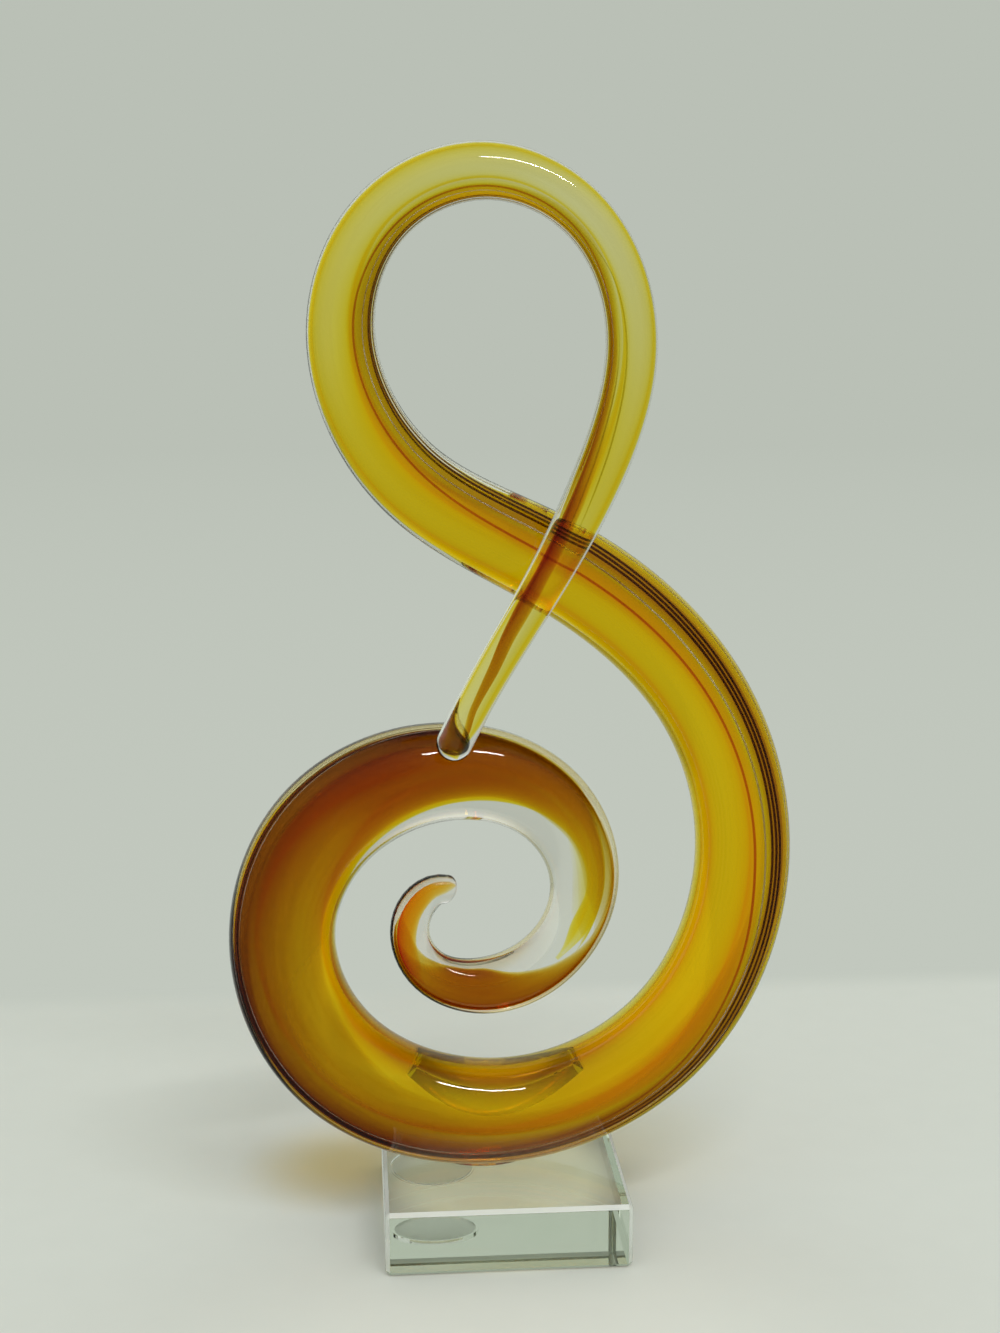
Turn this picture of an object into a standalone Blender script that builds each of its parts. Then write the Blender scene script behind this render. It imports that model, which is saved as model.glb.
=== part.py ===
"""Glass treble clef figurine: a cased, coloured glass rod bent into a clef and glued on a clear glass block.

Metres, +Z up. The viewer stands at -Y, and the origin is the centre of the block's underside.
The rod is drawn in its own plane: x to the right and z up, from the end of the inner curl to the tail.
"""
import math
from dataclasses import dataclass

import bmesh
import bpy
import numpy as np
from mathutils import Vector

MM = 0.001

# Block of plate glass
BLOCK_SIDE = 70.0 * MM
BLOCK_HEIGHT = 19.0 * MM
BLOCK_CHAMFER = 1.2 * MM

# Round film label in a shallow recess under the block, so that the block stands on its own face
LABEL_DIAMETER = 24.0 * MM
LABEL_THICKNESS = 0.15 * MM
LABEL_X = -20.0 * MM
LABEL_Y = 8.0 * MM
LABEL_CLEARANCE = 0.25 * MM
LABEL_RIM_CLEARANCE = 0.8 * MM

# Adhesive film between the block and the clef's ground foot
FOOT_GRIND = 0.6 * MM
BOND_THICKNESS = 0.3 * MM
BOND_CLEARANCE = 0.2 * MM
BOND_SPREAD = 1.0 * MM

# Clef: the pitch of the grid that its bends are drawn on, and how its rod is filled
DRAWING_GRID = 1.0 * MM
CLEF_PLANE_Y = -3.0 * MM
DEPTH_SHARE = 0.88
LAYER_GAP = 0.3 * MM
THREAD_THINNEST = 0.4 * MM
THREAD_SPACING = math.radians(13.0)
CROSSING_CLEARANCE = 0.5 * MM

# Channel for the coloured glass, in half widths of the rod: its outer edge, its depth, and a thread's diameter
CHANNEL_OUTER = 0.78
CHANNEL_DEPTH = 0.66
THREAD_SHARE = 0.055

# Ends of the rod
CURL_END_ROUNDING = 1.2 * MM
COLOUR_START = 0.6 * MM
TAIL_CLEAR_LENGTH = 7.0 * MM

# The split between amber and orange stays within this share of the channel's half width
SPLIT_REACH = 0.97

# Facets
PLACE_STEP = 1.0 * MM
RING_TURN = math.radians(10.0)
RING_STEP = 10.0 * MM
LAST_RING_STEP = 2.5 * MM
CASING_SIDES = 18
CHANNEL_SIDES = 12
CORE_SIDES = 10
RIBBON_SIDES = 8
THREAD_SIDES = 5
TIP_RINGS = 4
LABEL_SIDES = 48
BOND_SIDES = 24
SHARP_EDGE = math.radians(40.0)


@dataclass(frozen=True)
class Bend:
    """A place on the rod's centreline, what fills the rod there, and where its threads lie.

    x, z and width are in steps of the drawing grid. inner and split are in half widths from the centre,
    positive towards the scroll's outer side: the colour starts at inner, and turns to orange at split.
    twist turns that split about the rod, and lane is the orange thread's place on the core, both in degrees
    from the outer side towards the viewer.
    """

    x: float
    z: float
    width: float
    inner: float
    split: float
    lane: float = 20.0
    twist: float = 0.0


# The scroll from the end of the inner curl, outwards
SCROLL = (
    Bend(-13.0, 83.0, 8.0, 0.02, 0.02),
    Bend(-18.5, 83.5, 9.0, 0.02, 0.02),
    Bend(-23.5, 80.0, 10.5, 0.02, 0.02),
    Bend(-26.5, 70.5, 11.5, 0.02, 0.02),
    Bend(-21.5, 59.5, 13.0, -0.10, -0.10),
    Bend(-6.0, 54.0, 16.5, -0.40, -0.40),
    Bend(15.0, 63.5, 18.0, -0.10, 0.20),
    Bend(24.0, 85.0, 20.0, -0.20, 0.45),
    Bend(14.0, 108.0, 24.0, -0.35, 0.20),
    Bend(-14.0, 118.5, 28.0, -0.40, -0.05),
    Bend(-50.0, 103.0, 31.0, -0.60, -0.05),
    Bend(-63.0, 71.0, 30.5, -0.65, 0.00),
)
# The bottom bend on the block, and the right arm up to the crossing
BODY = (
    Bend(-48.0, 32.5, 32.5, -0.65, 0.25),
    Bend(-1.0, 15.0, 31.0, -0.65, 0.40, 30.0),
    Bend(48.0, 36.5, 29.0, -0.62, 0.45, 54.0),
    Bend(70.0, 93.0, 27.5, -0.62, 0.50, 75.0),
    Bend(57.0, 139.0, 27.0, -0.62, 0.50, 86.0),
    Bend(13.5, 178.5, 26.5, -0.62, 0.50, 86.0),
)
# The upper loop and the tail, which comes down in front of the body
LOOP = (
    Bend(-25.5, 202.0, 22.5, -0.66, 0.50, 76.0),
    Bend(-43.5, 243.0, 18.5, -0.70, 0.50, 69.0),
    Bend(-31.5, 272.5, 16.5, -0.70, 0.50, 62.0),
    Bend(-5.0, 283.5, 15.2, -0.70, 0.50, 60.0),
    Bend(21.5, 271.5, 13.9, -0.70, 0.50, 48.0),
    Bend(33.5, 240.0, 14.0, -0.68, 0.45, 42.0),
    Bend(24.5, 203.5, 13.8, -0.66, 0.40, 40.0),
    Bend(10.0, 174.5, 11.5, -0.62, 0.35, 40.0),
    Bend(-6.0, 147.0, 10.3, -0.62, 0.30, 40.0, 70.0),
    Bend(-16.5, 126.5, 9.8, -0.62, 0.30, 40.0, 150.0),
)
BENDS = SCROLL + BODY + LOOP

# Bends between which the amber core and the threads lie
CORE_FIRST_BEND = 6
THREADS_FIRST_BEND = 9


def spline_slopes(knots, values):
    """Slopes at the knots of the natural cubic spline through the values, one row to a knot."""
    count = len(knots)
    steps = np.diff(knots)
    matrix = np.zeros((count, count))
    right = np.zeros_like(values)
    matrix[0, :2] = 2.0, 1.0
    matrix[-1, -2:] = 1.0, 2.0
    right[0] = 3.0 * (values[1] - values[0]) / steps[0]
    right[-1] = 3.0 * (values[-1] - values[-2]) / steps[-1]
    for i in range(1, count - 1):
        before = 1.0 / steps[i - 1]
        after = 1.0 / steps[i]
        matrix[i, i - 1 : i + 2] = before, 2.0 * (before + after), after
        right[i] = 3.0 * (
            before**2 * (values[i] - values[i - 1]) + after**2 * (values[i + 1] - values[i])
        )
    return np.linalg.solve(matrix, right)


@dataclass(frozen=True)
class Section:
    """The rod's oval section at one place: its centre, its two directions and its half sizes."""

    centre: Vector
    outward: Vector
    front: Vector
    half_width: float
    half_depth: float
    inner: float
    split: float
    lane: float
    twist: float

    def point(self, across, forward):
        """The point that lies so far towards the outer side and so far towards the viewer."""
        return self.centre + self.outward * across + self.front * forward

    def channel(self, inset):
        """Centre and half sizes, in metres, of the oval that holds the coloured glass, made smaller by inset."""
        middle = (CHANNEL_OUTER + self.inner) / 2.0 * self.half_width
        half_across = (CHANNEL_OUTER - self.inner) / 2.0 * self.half_width - inset
        half_forward = CHANNEL_DEPTH * self.half_depth - inset
        return middle, half_across, half_forward


class Rod:
    """The rod's smooth centreline through its bends, with its sections."""

    def __init__(self, bends):
        points = np.array([(bend.x, bend.z) for bend in bends]) * DRAWING_GRID
        chords = np.linalg.norm(np.diff(points, axis=0), axis=1)
        self.knots = np.concatenate([[0.0], np.cumsum(chords)])
        widths = np.array([[bend.width] for bend in bends]) * DRAWING_GRID
        shares = np.array([(bend.inner, bend.split, bend.lane, bend.twist) for bend in bends])
        self.values = np.hstack([points, widths, shares])
        self.slopes = spline_slopes(self.knots, self.values)
        self.length = self.knots[-1]
        self.body_crossing, self.tail_crossing = self.find_crossing()
        self.advance = (
            self.row(self.body_crossing)[2] + self.row(self.tail_crossing)[2]
        ) / 2.0 * DEPTH_SHARE + CROSSING_CLEARANCE

    def row(self, place, order=0):
        """The drawn values at a place along the rod, or with order 1 how fast they change there."""
        i = int(np.clip(np.searchsorted(self.knots, place) - 1, 0, len(self.knots) - 2))
        step = self.knots[i + 1] - self.knots[i]
        t = (place - self.knots[i]) / step
        start, end = self.values[i], self.values[i + 1]
        leave, arrive = self.slopes[i] * step, self.slopes[i + 1] * step
        if order == 1:
            change = (6 * t**2 - 6 * t) * (start - end)
            return (change + (3 * t**2 - 4 * t + 1) * leave + (3 * t**2 - 2 * t) * arrive) / step
        hold = 2 * t**3 - 3 * t**2 + 1
        return hold * start + (1 - hold) * end + (t**3 - 2 * t**2 + t) * leave + (t**3 - t**2) * arrive

    def find_crossing(self):
        """The places on the body and on the tail that lie one in front of the other, seen from the front."""
        loop_top = int(np.argmax(self.values[:, 1]))
        body = np.arange(self.knots[len(SCROLL)], self.knots[len(SCROLL + BODY)], PLACE_STEP)
        tail = np.arange(self.knots[loop_top], self.length, PLACE_STEP)
        body_points = np.array([self.row(place)[:2] for place in body])
        tail_points = np.array([self.row(place)[:2] for place in tail])
        apart = np.linalg.norm(body_points[:, None] - tail_points[None], axis=2)
        nearest_body, nearest_tail = np.unravel_index(np.argmin(apart), apart.shape)
        return body[nearest_body], tail[nearest_tail]

    def forward(self, place):
        """How far the rod has come towards the viewer, and how fast it comes, at a place along it."""
        run = self.tail_crossing - self.body_crossing
        t = min(max((place - self.body_crossing) / run, 0.0), 1.0)
        return self.advance * t * t * (3.0 - 2.0 * t), self.advance * 6.0 * t * (1.0 - t) / run

    def section(self, place):
        """The rod's section at a place along it."""
        x, z, width, inner, split, lane, twist = self.row(place)
        change = self.row(place, order=1)
        forward, coming = self.forward(place)
        along = Vector((change[0], -coming, change[1])).normalized()
        outward = Vector((0.0, 1.0, 0.0)).cross(along).normalized()
        return Section(
            centre=Vector((x, -forward, z)),
            outward=outward,
            front=outward.cross(along),
            half_width=width / 2.0,
            half_depth=width / 2.0 * DEPTH_SHARE,
            inner=inner,
            split=split,
            lane=math.radians(lane),
            twist=math.radians(twist),
        )

    def places(self, start, end):
        """Places for rings from start to end: one for each step along the rod or turn of its direction."""
        chosen = [start]
        heading = self.heading(start)
        for place in np.arange(start, end, PLACE_STEP):
            turned = abs((self.heading(place) - heading + math.pi) % (2 * math.pi) - math.pi)
            if turned >= RING_TURN or place - chosen[-1] >= RING_STEP:
                chosen.append(place)
                heading = self.heading(place)
        if end - chosen[-1] < LAST_RING_STEP and len(chosen) > 2:
            chosen.pop()
        return chosen + [end]

    def heading(self, place):
        """The direction of the rod in its plane, in radians."""
        change = self.row(place, order=1)
        return math.atan2(change[1], change[0])


def arc_points(section, middle, half_across, half_forward, angles):
    """Points on an oval in the section, at these angles from the outer side towards the viewer."""
    return [
        section.point(middle + half_across * math.cos(angle), half_forward * math.sin(angle))
        for angle in angles
    ]


def ring(section, middle, half_across, half_forward, sides):
    """A closed oval ring in the section."""
    angles = [2.0 * math.pi * i / sides for i in range(sides)]
    return arc_points(section, middle, half_across, half_forward, angles)


def skin(shape, rings):
    """Faces between rings that have one count of points. Returns the first and the last ring's vertices."""
    rows = [[shape.verts.new(point) for point in points] for points in rings]
    count = len(rows[0])
    for near, far in zip(rows, rows[1:]):
        for i in range(count):
            j = (i + 1) % count
            shape.faces.new((near[i], near[j], far[j], far[i]))
    return rows[0], rows[-1]


def loft(name, rings):
    """A closed mesh through the rings, with a flat cap at each end."""
    shape = bmesh.new()
    first, last = skin(shape, rings)
    shape.faces.new(reversed(first))
    shape.faces.new(last)
    return finish_mesh(bpy.data.meshes.new(name), shape)


def finish_mesh(mesh, shape):
    """Puts the bmesh in the mesh: in triangles that face out, smooth but for the ground edges."""
    bmesh.ops.triangulate(shape, faces=shape.faces[:])
    bmesh.ops.recalc_face_normals(shape, faces=shape.faces[:])
    shape.to_mesh(mesh)
    shape.free()
    mesh.shade_smooth()
    mesh.set_sharp_from_angle(angle=SHARP_EDGE)
    return mesh


def casing_rings(rod):
    """Outer rings from the tail's round tip to the curl's end."""
    tip = rod.section(rod.length).half_width
    rings = []
    for i in range(TIP_RINGS):
        angle = math.pi / 2.0 * (i + 0.5) / TIP_RINGS
        section = rod.section(rod.length - tip * (1.0 - math.cos(angle)))
        share = math.sin(angle)
        rings.append(ring(section, 0.0, section.half_width * share, section.half_depth * share, CASING_SIDES))
    for place in reversed(rod.places(CURL_END_ROUNDING, rod.length - tip)):
        section = rod.section(place)
        rings.append(ring(section, 0.0, section.half_width, section.half_depth, CASING_SIDES))
    end = rod.section(0.0)
    size = end.half_width - CURL_END_ROUNDING, end.half_depth - CURL_END_ROUNDING
    rings.append(ring(end, 0.0, *size, CASING_SIDES))
    return rings


def channel_rings(rod, end):
    """Rings of the casing's channel. The flats of each ring touch the true oval from outside."""
    flats = 1.0 / math.cos(math.pi / CHANNEL_SIDES)
    rings = []
    for place in rod.places(0.0, end):
        section = rod.section(place)
        middle, across, forward = section.channel(0.0)
        rings.append(ring(section, middle, across * flats, forward * flats, CHANNEL_SIDES))
    return rings


def thread_radius(section):
    """Radius of a thread, which was drawn thinner with the rod."""
    return max(THREAD_SHARE * section.half_width, THREAD_THINNEST) / 2.0


def band(rod, place, section):
    """Depth of the layer between the channel's wall and the colours: a gap, and the threads where they are."""
    start = rod.knots[THREADS_FIRST_BEND]
    share = min(max((place - start) / RING_STEP + 1.0, 0.0), 1.0)
    return LAYER_GAP + share * (2.0 * thread_radius(section) + LAYER_GAP)


def split_rings(rod, start, end, sides, amber):
    """Rings of the amber core, or of the orange ribbon beside it, on their side of the split."""
    gap = -LAYER_GAP / 2.0 if amber else LAYER_GAP / 2.0
    rings = []
    for place in rod.places(0.0, rod.length):
        if not start <= place <= end:
            continue
        section = rod.section(place)
        middle, across, forward = section.channel(band(rod, place, section))
        chord = (section.split * section.half_width - middle + gap) / across
        half_turn = math.acos(min(max(chord, -SPLIT_REACH), SPLIT_REACH))
        first, last = section.twist - half_turn, section.twist + half_turn
        if amber:
            first, last = last, first + 2.0 * math.pi
        angles = [first + (last - first) * i / (sides - 1) for i in range(sides)]
        rings.append(arc_points(section, middle, across, forward, angles))
    return rings


def thread_rings(rod, start, end, number):
    """Rings of a thread that lies on the core, so many threads away from the orange one."""
    turns = [2.0 * math.pi * i / THREAD_SIDES for i in range(THREAD_SIDES)]
    rings = []
    for place in rod.places(0.0, rod.length):
        if not start <= place <= end:
            continue
        section = rod.section(place)
        radius = thread_radius(section)
        middle, across, forward = section.channel(LAYER_GAP + radius)
        closest = (2.0 * radius + LAYER_GAP) / min(across, forward)
        angle = section.lane - number * max(THREAD_SPACING, closest)
        centre_across = middle + across * math.cos(angle)
        centre_forward = forward * math.sin(angle)
        rings.append(
            [
                section.point(centre_across + radius * math.cos(turn), centre_forward + radius * math.sin(turn))
                for turn in turns
            ]
        )
    return rings


def glass(name, colour, roughness=0.02):
    """Transparent glass of one colour."""
    material = bpy.data.materials.new(name)
    material.use_nodes = True
    shader = material.node_tree.nodes["Principled BSDF"]
    shader.inputs["Base Color"].default_value = (*colour, 1.0)
    shader.inputs["Roughness"].default_value = roughness
    shader.inputs["Metallic"].default_value = 0.0
    shader.inputs["IOR"].default_value = 1.5
    shader.inputs["Transmission Weight"].default_value = 0.9
    material.diffuse_color = (*colour, 1.0)
    return material


def add_part(collection, name, mesh, material, parent=None, location=(0.0, 0.0, 0.0)):
    """A named piece in the collection, with its own material."""
    piece = bpy.data.objects.new(name, mesh)
    piece.location = location
    piece.parent = parent
    mesh.materials.append(material)
    collection.objects.link(piece)
    return piece


def ground_foot(mesh):
    """Grinds the foot of the casing flat, and returns its plane's height and the flat's corners."""
    lowest = min(vertex.co.z for vertex in mesh.vertices)
    plane = lowest + FOOT_GRIND
    shape = bmesh.new()
    shape.from_mesh(mesh)
    everything = shape.verts[:] + shape.edges[:] + shape.faces[:]
    cut = bmesh.ops.bisect_plane(
        shape, geom=everything, plane_co=(0.0, 0.0, plane), plane_no=(0.0, 0.0, 1.0), clear_inner=True
    )
    rim = [item for item in cut["geom_cut"] if isinstance(item, bmesh.types.BMEdge)]
    corners = [vertex.co.copy() for edge in rim for vertex in edge.verts]
    bmesh.ops.contextual_create(shape, geom=rim)
    finish_mesh(mesh, shape)
    low = Vector(map(min, zip(*corners)))
    high = Vector(map(max, zip(*corners)))
    return plane, low, high


def make_casing(rod, channel_end):
    """The clear casing: its outside, then its channel from the curl's open end to a blind end in the tail."""
    shape = bmesh.new()
    tip, _ = skin(shape, casing_rings(rod))
    _, blind_end = skin(shape, channel_rings(rod, channel_end))
    shape.faces.new(reversed(tip))
    shape.faces.new(blind_end)
    mouth = [edge for edge in shape.edges if edge.is_boundary]
    bmesh.ops.bridge_loops(shape, edges=mouth)
    return finish_mesh(bpy.data.meshes.new("clear_casing"), shape)


def disc(name, radius_x, radius_y, thickness, sides):
    """A flat oval disc that stands on its own origin."""
    shape = bmesh.new()
    bmesh.ops.create_cone(
        shape, cap_ends=True, segments=sides, radius1=1.0, radius2=1.0, depth=thickness
    )
    bmesh.ops.scale(shape, vec=(radius_x, radius_y, 1.0), verts=shape.verts[:])
    bmesh.ops.translate(shape, vec=(0.0, 0.0, thickness / 2.0), verts=shape.verts[:])
    return finish_mesh(bpy.data.meshes.new(name), shape)


def make_block(parts, cutters):
    """The chamfered block, with the label's recess cut into its underside."""
    shape = bmesh.new()
    bmesh.ops.create_cube(shape, size=1.0)
    bmesh.ops.scale(shape, vec=(BLOCK_SIDE, BLOCK_SIDE, BLOCK_HEIGHT), verts=shape.verts[:])
    bmesh.ops.translate(shape, vec=(0.0, 0.0, BLOCK_HEIGHT / 2.0), verts=shape.verts[:])
    mesh = bpy.data.meshes.new("base_block")
    shape.to_mesh(mesh)
    shape.free()
    block = add_part(parts, "base_block", mesh, glass("clear block glass", (0.93, 0.97, 0.94)))
    chamfer = block.modifiers.new("ground edges", "BEVEL")
    chamfer.width = BLOCK_CHAMFER
    chamfer.segments = 1
    depth = 2.0 * LABEL_CLEARANCE + LABEL_THICKNESS
    radius = LABEL_DIAMETER / 2.0 + LABEL_RIM_CLEARANCE
    recess_disc = disc("label_recess", radius, radius, 2.0 * depth, LABEL_SIDES)
    cutter = bpy.data.objects.new("label_recess", recess_disc)
    cutter.location = (LABEL_X, LABEL_Y, -depth)
    cutter.hide_render = True
    cutter.display_type = "WIRE"
    cutters.objects.link(cutter)
    recess = block.modifiers.new("label recess", "BOOLEAN")
    recess.operation = "DIFFERENCE"
    recess.solver = "EXACT"
    recess.object = cutter
    return block


def make_label(parts):
    """The bare round label, set in its recess just clear of the surface that the block stands on."""
    radius = LABEL_DIAMETER / 2.0
    mesh = disc("base_label", radius, radius, LABEL_THICKNESS, LABEL_SIDES)
    place = (LABEL_X, LABEL_Y, LABEL_CLEARANCE)
    return add_part(parts, "base_label", mesh, glass("label film", (0.86, 0.87, 0.85), 0.5), location=place)


def make_clef(parts):
    """The rod's glass layers, on one empty that stands the ground foot on the adhesive film."""
    rod = Rod(BENDS)
    channel_end = rod.length - TAIL_CLEAR_LENGTH
    colour_end = channel_end - LAYER_GAP
    casing = make_casing(rod, channel_end)
    plane, low, high = ground_foot(casing)
    clef = bpy.data.objects.new("clef", None)
    clef.location = (0.0, CLEF_PLANE_Y, BLOCK_HEIGHT + BOND_THICKNESS + 2.0 * BOND_CLEARANCE - plane)
    parts.objects.link(clef)
    add_part(parts, "clear_casing", casing, glass("clear casing glass", (0.97, 0.98, 0.96)), clef)
    core_start = rod.knots[CORE_FIRST_BEND]
    core = loft("amber_core", split_rings(rod, core_start, colour_end, CORE_SIDES, True))
    add_part(parts, "amber_core", core, glass("amber glass", (0.85, 0.58, 0.02)), clef)
    ribbon = loft("orange_ribbon", split_rings(rod, COLOUR_START, colour_end, RIBBON_SIDES, False))
    add_part(parts, "orange_ribbon", ribbon, glass("orange glass", (0.62, 0.22, 0.01)), clef)
    threads = (
        ("orange_thread", (0.60, 0.18, 0.01)),
        ("pale_thread", (0.62, 0.60, 0.50)),
        ("brown_thread_1", (0.10, 0.04, 0.01)),
        ("brown_thread_2", (0.12, 0.05, 0.01)),
        ("brown_thread_3", (0.14, 0.06, 0.01)),
    )
    threads_start = rod.knots[THREADS_FIRST_BEND]
    for number, (name, colour) in enumerate(threads):
        rings = thread_rings(rod, threads_start, colour_end, number)
        add_part(parts, name, loft(name, rings), glass(name.replace("_", " ") + " glass", colour), clef)
    return low, high


def make_bond(parts, low, high):
    """The adhesive film, a little wider all round than the ground foot."""
    radius_x = (high.x - low.x) / 2.0 + BOND_SPREAD
    radius_y = (high.y - low.y) / 2.0 + BOND_SPREAD
    mesh = disc("bond_film", radius_x, radius_y, BOND_THICKNESS, BOND_SIDES)
    middle = (low + high) / 2.0
    place = (middle.x, middle.y + CLEF_PLANE_Y, BLOCK_HEIGHT + BOND_CLEARANCE)
    return add_part(parts, "bond_film", mesh, glass("clear adhesive", (0.95, 0.95, 0.92), 0.1), location=place)


def new_collection(name):
    """A collection linked to the scene."""
    collection = bpy.data.collections.new(name)
    bpy.context.scene.collection.children.link(collection)
    return collection


def main():
    """Clears the scene and builds the figurine."""
    for item in list(bpy.data.objects):
        bpy.data.objects.remove(item, do_unlink=True)
    parts = new_collection("glass_treble_clef")
    cutters = new_collection("cutters")
    make_block(parts, cutters)
    make_label(parts)
    low, high = make_clef(parts)
    make_bond(parts, low, high)


main()
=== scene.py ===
"""Looks of the glass treble clef figurine: a cased, coloured glass rod on a clear glass block.

Metres, +Z up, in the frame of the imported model. The viewer stands at -Y.
"""

import logging
import math
from collections.abc import Callable
from dataclasses import dataclass, field
from enum import Enum

import bmesh
import bpy
import numpy as np
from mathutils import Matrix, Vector

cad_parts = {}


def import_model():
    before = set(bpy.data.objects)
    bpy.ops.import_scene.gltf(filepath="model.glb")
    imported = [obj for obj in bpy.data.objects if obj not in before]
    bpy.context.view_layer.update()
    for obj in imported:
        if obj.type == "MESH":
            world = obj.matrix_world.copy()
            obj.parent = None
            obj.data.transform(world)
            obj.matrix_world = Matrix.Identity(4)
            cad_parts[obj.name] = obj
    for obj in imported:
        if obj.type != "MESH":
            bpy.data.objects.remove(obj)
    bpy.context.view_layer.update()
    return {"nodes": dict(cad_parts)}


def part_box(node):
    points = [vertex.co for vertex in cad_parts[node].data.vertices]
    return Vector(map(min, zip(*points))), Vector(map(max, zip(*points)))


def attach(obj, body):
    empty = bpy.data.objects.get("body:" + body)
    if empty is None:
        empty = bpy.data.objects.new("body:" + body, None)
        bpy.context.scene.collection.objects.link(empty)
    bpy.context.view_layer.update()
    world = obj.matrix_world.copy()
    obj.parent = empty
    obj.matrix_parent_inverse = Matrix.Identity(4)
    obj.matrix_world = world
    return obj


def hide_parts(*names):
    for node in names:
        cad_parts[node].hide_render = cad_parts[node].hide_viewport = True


LOG = logging.getLogger("glass_clef")
MM = 0.001
SEAM_REACH = 0.001 * MM
SMALLEST = 1e-6
SHARP_EDGE = math.radians(40.0)
WHITE = (1.0, 1.0, 1.0, 1.0)
# The colour mixer's numbers for its two colours and for its result
MIX_FIRST, MIX_SECOND, MIX_RESULT = 6, 7, 2
# Where in the noise a streak begins and where it has its full tint
STREAK_START, STREAK_FULL = 0.42, 0.68
# Keeps the colour of the clearest channel just under white and the others over black
DENSITY_MARGIN = 1.001
# Where a band's thickness is given, from its middle to its rims
THICKNESS_STOPS = (0.0, 0.5, 0.85, 1.0)
# A band's reach in degrees and its three thicknesses where it begins or ends
THIN_END = (6.0, 0.010, 0.008, 0.004)

Table = tuple[tuple[float, ...], ...]


def linear(code: str) -> tuple[float, float, float, float]:
    """Linear colour of an sRGB hex code.

    Args:
        code: Six hex digits, with or without a leading hash sign.

    Returns:
        Red, green, blue and an alpha of 1.
    """
    digits = code.lstrip("#")
    channels = [int(digits[i : i + 2], 16) / 255.0 for i in (0, 2, 4)]
    curved = [c / 12.92 if c <= 0.04045 else ((c + 0.055) / 1.055) ** 2.4 for c in channels]
    return (*curved, 1.0)


# The rod's route


# Bends of the rod from the end of the inner curl to the tail's tip: x, z and width in mm
BENDS: Table = (
    (-13, 83, 8),
    (-18.5, 83.5, 9),
    (-23.5, 80, 10.5),
    (-26.5, 70.5, 11.5),
    (-21.5, 59.5, 13),
    (-6, 54, 16.5),
    (15, 63.5, 18),
    (24, 85, 20),
    (14, 108, 24),
    (-14, 118.5, 28),
    (-50, 103, 31),
    (-63, 71, 30.5),
    (-48, 32.5, 32.5),
    (-1, 15, 31),
    (48, 36.5, 29),
    (70, 93, 27.5),
    (57, 139, 27),
    (13.5, 178.5, 26.5),
    (-25.5, 202, 22.5),
    (-43.5, 243, 18.5),
    (-31.5, 272.5, 16.5),
    (-5, 283.5, 15.2),
    (21.5, 271.5, 13.9),
    (33.5, 240, 14),
    (24.5, 203.5, 13.8),
    (10, 174.5, 11.5),
    (-6, 147, 10.3),
    (-16.5, 126.5, 9.8),
)
BODY_BENDS = (12, 18)
LOOP_TOP_BEND = 21


def natural_slopes(knots: np.ndarray, values: np.ndarray) -> np.ndarray:
    """Slopes of the natural cubic spline through rows of values.

    Args:
        knots: Where each row stands.
        values: One row for each knot.

    Returns:
        One row of slopes for each knot.
    """
    count = len(knots)
    steps = np.diff(knots)
    matrix = np.zeros((count, count))
    right = np.zeros_like(values)
    matrix[0, :2] = 2.0, 1.0
    matrix[-1, -2:] = 1.0, 2.0
    right[0] = 3.0 * (values[1] - values[0]) / steps[0]
    right[-1] = 3.0 * (values[-1] - values[-2]) / steps[-1]
    for i in range(1, count - 1):
        before, after = 1.0 / steps[i - 1], 1.0 / steps[i]
        matrix[i, i - 1 : i + 2] = before, 2.0 * (before + after), after
        right[i] = 3.0 * (before**2 * (values[i] - values[i - 1]) + after**2 * (values[i + 1] - values[i]))
    return np.linalg.solve(matrix, right)


def level_slopes(knots: np.ndarray, values: np.ndarray) -> np.ndarray:
    """Slopes that let a curve through rows of values never overshoot them.

    Args:
        knots: Where each row stands.
        values: One row for each knot.

    Returns:
        One row of slopes for each knot.
    """
    secants = np.diff(values, axis=0) / np.diff(knots)[:, None]
    slopes = np.zeros_like(values)
    product = secants[:-1] * secants[1:]
    total = secants[:-1] + secants[1:]
    slopes[1:-1] = np.where(product > 0.0, 2.0 * product / np.where(total == 0.0, 1.0, total), 0.0)
    return slopes


@dataclass
class Curve:
    """Rows of values that change smoothly along the rod."""

    knots: np.ndarray
    values: np.ndarray
    slopes: np.ndarray

    def at(self, place: float, order: int = 0) -> np.ndarray:
        """The row at a place.

        Args:
            place: Distance along the rod.
            order: 0 for the values, 1 for how fast they change.

        Returns:
            One row of values.
        """
        held = min(max(place, self.knots[0]), self.knots[-1])
        i = int(np.clip(np.searchsorted(self.knots, held) - 1, 0, len(self.knots) - 2))
        step = self.knots[i + 1] - self.knots[i]
        t = (held - self.knots[i]) / step
        start, end = self.values[i], self.values[i + 1]
        leave, arrive = self.slopes[i] * step, self.slopes[i + 1] * step
        if order == 1:
            change = (6 * t**2 - 6 * t) * (start - end)
            return (change + (3 * t**2 - 4 * t + 1) * leave + (3 * t**2 - 2 * t) * arrive) / step
        hold = 2 * t**3 - 3 * t**2 + 1
        return hold * start + (1 - hold) * end + (t**3 - 2 * t**2 + t) * leave + (t**3 - t**2) * arrive


@dataclass(frozen=True)
class Section:
    """The rod's oval section at one place."""

    place: float
    centre: Vector
    outward: Vector
    front: Vector
    half_width: float
    half_depth: float

    def point(self, across: float, forward: float) -> Vector:
        """The point at these shares of the half width outwards and of the half depth forwards."""
        return self.centre + self.outward * across * self.half_width + self.front * forward * self.half_depth


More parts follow.
